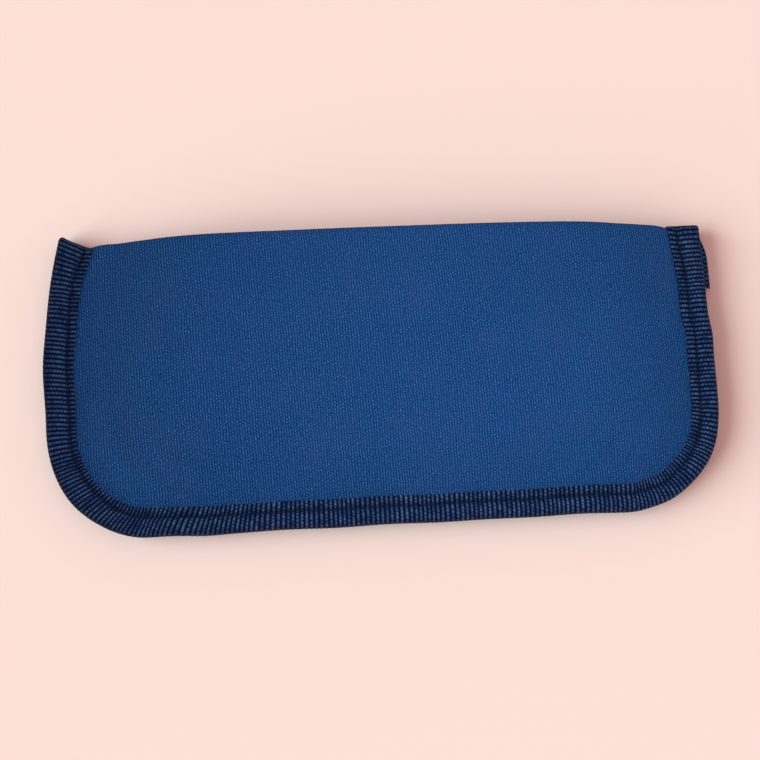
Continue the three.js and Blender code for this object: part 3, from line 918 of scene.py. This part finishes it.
def shell_cloth():
    """Plain-weave polyester: columns of small bright floats, with dark lines between them."""
    graph = Graph("shell_cloth", sheen=0.015, sheen_roughness=0.4, specular=0.04)
    across, up, place = graph.texture_place()
    stray = graph.math("SUBTRACT", graph.noise(place, 160, 3), 0.5)
    upright = graph.math("ADD", across, graph.math("MULTIPLY", up, COLUMN_LEAN))
    column = graph.math("ADD", graph.math("DIVIDE", upright, COLUMN_PITCH), stray)
    sway = graph.math("SUBTRACT", graph.noise(graph.stretched(place, 1.6, 1.0), 420, 3, 0.6), 0.5)
    row = graph.math("ADD", graph.math("DIVIDE", up, ROW_PITCH), graph.math("MULTIPLY", sway, 2.6))
    warp = yarn(graph, column, row, 1)
    weft = yarn(graph, row, column, -1)
    off_column = graph.math("ABSOLUTE", graph.math("SUBTRACT", graph.math("FRACT", column), 0.5))
    gap = graph.fit(off_column, 0.22, 0.5)
    height = graph.math("SUBTRACT", graph.math("MAXIMUM", warp, weft), graph.math("MULTIPLY", gap, 0.5))
    over = graph.fit(graph.math("SUBTRACT", warp, weft), -0.3, 0.3)
    lint = graph.noise(graph.stretched(place, 1.5, 1.0), 1500, 1, 0.5)
    over = graph.math("ADD", graph.math("MULTIPLY", over, 0.55), graph.fit(lint, 0.35, 0.65, 0.0, 0.6))
    cloudy = graph.noise(graph.object_place(), 28, 3)
    speckle = graph.noise(graph.stretched(place, 1.5, 1.9), 1150, 2, 0.85)
    tint = graph.noise(graph.object_place(), 75, 2)
    body = graph.mix(graph.fit(cloudy, 0.3, 0.7), linear(14, 55, 108), linear(20, 63, 119))
    body = graph.mix(graph.fit(tint, 0.48, 0.68, 0.0, 0.75), body, linear(34, 60, 118))
    bright = graph.mix(graph.fit(speckle, 0.3, 0.7), linear(20, 69, 126), linear(68, 116, 163))
    raised = graph.fit(height, 0.2, 0.95)
    color = graph.mix(graph.math("MULTIPLY", over, raised), body, bright)
    color = graph.mix(graph.fit(speckle, 0.28, 0.52, 0.8, 0.0), color, linear(2, 38, 90))
    dark = graph.mix(graph.math("MULTIPLY", gap, 0.85), color, linear(0, 38, 92))
    rough = graph.fit(speckle, 0.3, 0.7, 0.66, 0.84)
    return graph.finish(dark, height, 0.1 * MM, rough)


def lining_cloth():
    """Soft brushed cloth."""
    graph = Graph("lining_cloth", sheen=0.12, sheen_roughness=0.6, specular=0.08)
    _, _, place = graph.texture_place()
    nap = graph.noise(place, 1400, 4, 0.7)
    patches = graph.noise(place, 60, 3)
    color = graph.mix(graph.fit(nap, 0.3, 0.7), linear(52, 60, 80), linear(86, 97, 120))
    color = graph.mix(graph.fit(patches, 0.35, 0.65, 0.0, 0.35), color, linear(44, 52, 70))
    return graph.finish(color, nap, 0.12 * MM, graph.fit(nap, 0.3, 0.7, 0.85, 0.98))


def foam_pad():
    """Open-cell foam."""
    graph = Graph("foam", specular=0.2)
    place = graph.object_place()
    cells = graph.noise(place, 1800, 3, 0.6)
    tone = graph.noise(place, 90, 2)
    color = graph.mix(graph.fit(cells, 0.4, 0.6), linear(95, 98, 104), linear(150, 153, 158))
    color = graph.mix(graph.fit(tone, 0.4, 0.6, 0.0, 0.3), color, linear(160, 158, 150))
    return graph.finish(color, cells, 0.2 * MM, graph.fit(cells, 0.3, 0.7, 0.8, 0.95))


def tape_cloth():
    """Ribbed tape: warp yarns crossing over thick ribs, as rows of small beads. Its texture place is
    the rib's number and the way round the section in millimetres."""
    graph = Graph("binding_tape", sheen=0.01, sheen_roughness=0.4, specular=0.04)
    phase, round_it, place = graph.texture_place()
    wave = graph.math("ABSOLUTE", graph.math("COSINE", graph.math("MULTIPLY", phase, math.pi)))
    rib_number = graph.math("FLOOR", graph.math("ADD", phase, 0.5))
    scatter = graph.noise(graph.stretched(place, 0.31, 0.9), 1.7, 2)
    bead_place = graph.math("DIVIDE", round_it, BEAD_PITCH / MM)
    bead_place = graph.math("ADD", bead_place, graph.math("MULTIPLY", rib_number, 0.5))
    bead_place = graph.math("ADD", bead_place, scatter)
    bead = graph.math("ABSOLUTE", graph.math("COSINE", graph.math("MULTIPLY", bead_place, math.pi)))
    fibre = graph.noise(graph.stretched(place, 14, 5), 1.0, 2)
    height = graph.math("ADD", wave, graph.math("MULTIPLY", bead, 0.6))
    ridge = graph.fit(wave, 0.5, 1.0)
    worn = graph.noise(graph.stretched(place, 0.25, 0.3), 1.0, 3)
    crest = graph.mix(graph.fit(worn, 0.3, 0.7), linear(22, 50, 92), linear(70, 94, 134))
    fade_start, fade_end = 60.0, 110.0  # the left side's plainer, darker look fades between these ribs
    least = graph.fit(phase, fade_start, fade_end, 0.35, 0.05)
    crest = graph.mix(graph.fit(bead, 0.15, 0.8, least, 1.0), linear(2, 18, 52), crest)
    crest = graph.mix(graph.fit(fibre, 0.5, 0.8, 0.0, 0.35), crest, linear(74, 94, 128))
    patchy = graph.noise(graph.stretched(place, 0.8, 0.9), 1.0, 2, 0.7)
    crest = graph.mix(graph.fit(patchy, 0.52, 0.7, 0.0, 0.7), crest, linear(82, 102, 136))
    crest = graph.mix(graph.fit(patchy, 0.28, 0.5, 0.6, 0.0), crest, linear(4, 22, 54))
    crest = graph.mix(graph.fit(phase, fade_start, fade_end, 0.25, 0.0), crest, linear(4, 22, 54))
    # The grooves between the ribs are coloured darker than the crests: partly the tape's own dark yarn,
    # partly painted shade in the grooves.
    color = graph.mix(ridge, linear(0, 12, 46), crest)
    # Painted shade: the tape is darker within about a millimetre of the stitch line, in the valley where
    # the stitches press it down.
    from_stitches = graph.math("ABSOLUTE", graph.math("SUBTRACT", round_it, STITCH_FROM_LEAF_EDGE / MM))
    color = graph.mix(graph.fit(from_stitches, 0.1, 1.3, 0.65, 0.0), color, linear(0, 8, 30))
    rough = graph.fit(fibre, 0.3, 0.7, 0.5, 0.75)
    return graph.finish(color, height, 0.1 * MM, rough)


def stitch_thread():
    """Two-ply twisted thread."""
    graph = Graph("thread", sheen=0.01, specular=0.04)
    along, turn, place = graph.texture_place()
    twist = graph.math("ADD", graph.math("MULTIPLY", along, 1.6), graph.math("MULTIPLY", turn, 2.0))
    ply = graph.math("ABSOLUTE", graph.math("SINE", graph.math("MULTIPLY", twist, math.pi)))
    fuzz = graph.noise(graph.stretched(place, 6, 9), 1.0, 2)
    color = graph.mix(graph.fit(ply, 0.1, 0.8), linear(2, 10, 32), linear(14, 30, 64))
    color = graph.mix(graph.fit(fuzz, 0.55, 0.8, 0.0, 0.3), color, linear(30, 50, 88))
    return graph.finish(color, ply, 0.05 * MM, graph.fit(ply, 0.0, 1.0, 0.75, 0.5))


# ---- Pieces ----

settled_rise = settle()

shell_material, lining_material = shell_cloth(), lining_cloth()
foam_material, tape_material, thread_material = foam_pad(), tape_cloth(), stitch_thread()


def opens(piece):
    """Bakes a piece's placement into its mesh and measures each point's distance from the sewn edge,
    which is then left unused.
    """
    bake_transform(piece)
    points = np.empty(len(piece.data.vertices) * 3, dtype=np.float32)
    piece.data.vertices.foreach_get("co", points)
    points = points.reshape(-1, 3)
    distance = seam_distance(points[:, 0], points[:, 1])


def add(piece, nodes, on_front=False):
    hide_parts(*nodes)
    if on_front:
        opens(piece)
    else:
        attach(piece, "back")
    return piece


for side, panel in (("front", FRONT), ("back", BACK)):
    moves = side == "front"
    held = ["front_held_border"] if moves else []
    shell = panel_shell(f"{side}_shell_cloth", panel, shell_material)
    add(shell, [f"{side}_shell", *held], moves)
    foam = panel_foam(f"{side}_foam", panel, foam_material)
    add(foam, [f"{side}_padding"], moves)
    lining = panel_lining(f"{side}_lining_cloth", panel, lining_material)
    add(lining, [f"{side}_lining"], moves)
    facing_thread = stitches(f"{side}_facing_stitches", *facing_stitch_line(panel), thread_material)
    add(facing_thread, [f"{side}_facing_thread"], moves)

tape = add(tape_piece("binding_tape_cloth", tape_material), ["binding_tape"])
add(stitches("needle_stitches", *tape_stitch_line(1), thread_material), ["needle_thread"])
add(stitches("bobbin_stitches", *tape_stitch_line(-1), thread_material), ["bobbin_thread"])


# ---- Stage, light and camera ----

def floor():
    mesh = bpy.data.meshes.new("floor")
    size = 12.0
    corners = [(-size, -size, 0), (size, -size, 0), (size, size, 0), (-size, size, 0)]
    mesh.from_pydata(corners, [], [(0, 1, 2, 3)])
    graph = Graph("floor", roughness=0.9, specular=0.1)
    tone = graph.noise(graph.object_place(), 3, 2)
    color = graph.mix(graph.fit(tone, 0.3, 0.7), linear(245, 216, 208), linear(246, 218, 210))
    mesh.materials.append(graph.finish(color, tone, 0.001 * MM))
    stage = bpy.data.objects.new("floor", mesh)
    stage.location.z = -0.02 * MM
    bpy.context.scene.collection.objects.link(stage)
    stage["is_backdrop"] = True


def add_lamp(name, kind, energy, group, lit):
    """A lamp whose light falls only on some of the objects."""
    lamp = bpy.data.lights.new(name, kind)
    lamp.energy = energy
    lamp.color = (0.73, 1.0, 1.0)
    holder = bpy.data.objects.new(name, lamp)
    receivers = bpy.data.collections.new(group)
    for piece in lit:
        receivers.objects.link(piece)
    holder.light_linking.receiver_collection = receivers
    bpy.context.scene.collection.objects.link(holder)
    return holder


def light():
    """Even light from all round, a soft box close above the case, and one broad light from low on
    the left that gives its soft shadow on the floor."""
    world = bpy.data.worlds.new("studio")
    bpy.context.scene.world = world
    world.use_nodes = True
    background = world.node_tree.nodes["Background"]
    background.inputs["Color"].default_value = (1.0, 0.70, 0.70, 1)
    background.inputs["Strength"].default_value = 0.60

    key = add_lamp("shadow_key", "SUN", 6.1, "ground", [bpy.data.objects["floor"]])
    key.data.angle = math.radians(62)
    key.rotation_mode = "QUATERNION"
    key.rotation_quaternion = Vector((0.90, 0.15, -0.31)).to_track_quat("-Z", "Y")

    box = add_lamp("soft_box", "AREA", 0.33, "case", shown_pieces())
    box.data.shape = "DISK"
    box.data.size = 120 * MM
    box.location = Vector((22, -14, 200)) * MM


def camera():
    """Looks down from above the case's lower left, turned a little so that the case tilts."""
    lens = bpy.data.cameras.new("camera")
    lens.sensor_width = 36
    lens.lens = 73.1
    eye = bpy.data.objects.new("camera", lens)
    place, target = Vector((-34.6, -91.75, 418.9)) * MM, Vector((-1.05, -0.75, 0)) * MM
    look = (target - place).normalized()
    right = look.cross(Vector((0, 1, 0))).normalized()
    up = right.cross(look)
    turn = Matrix((right, up, -look)).transposed().to_4x4()
    eye.matrix_world = Matrix.Translation(place) @ turn @ Matrix.Rotation(math.radians(-3.62), 4, "Z")
    bpy.context.scene.collection.objects.link(eye)
    bpy.context.scene.camera = eye


floor()
light()
camera()
bpy.context.scene.view_settings.view_transform = "Standard"
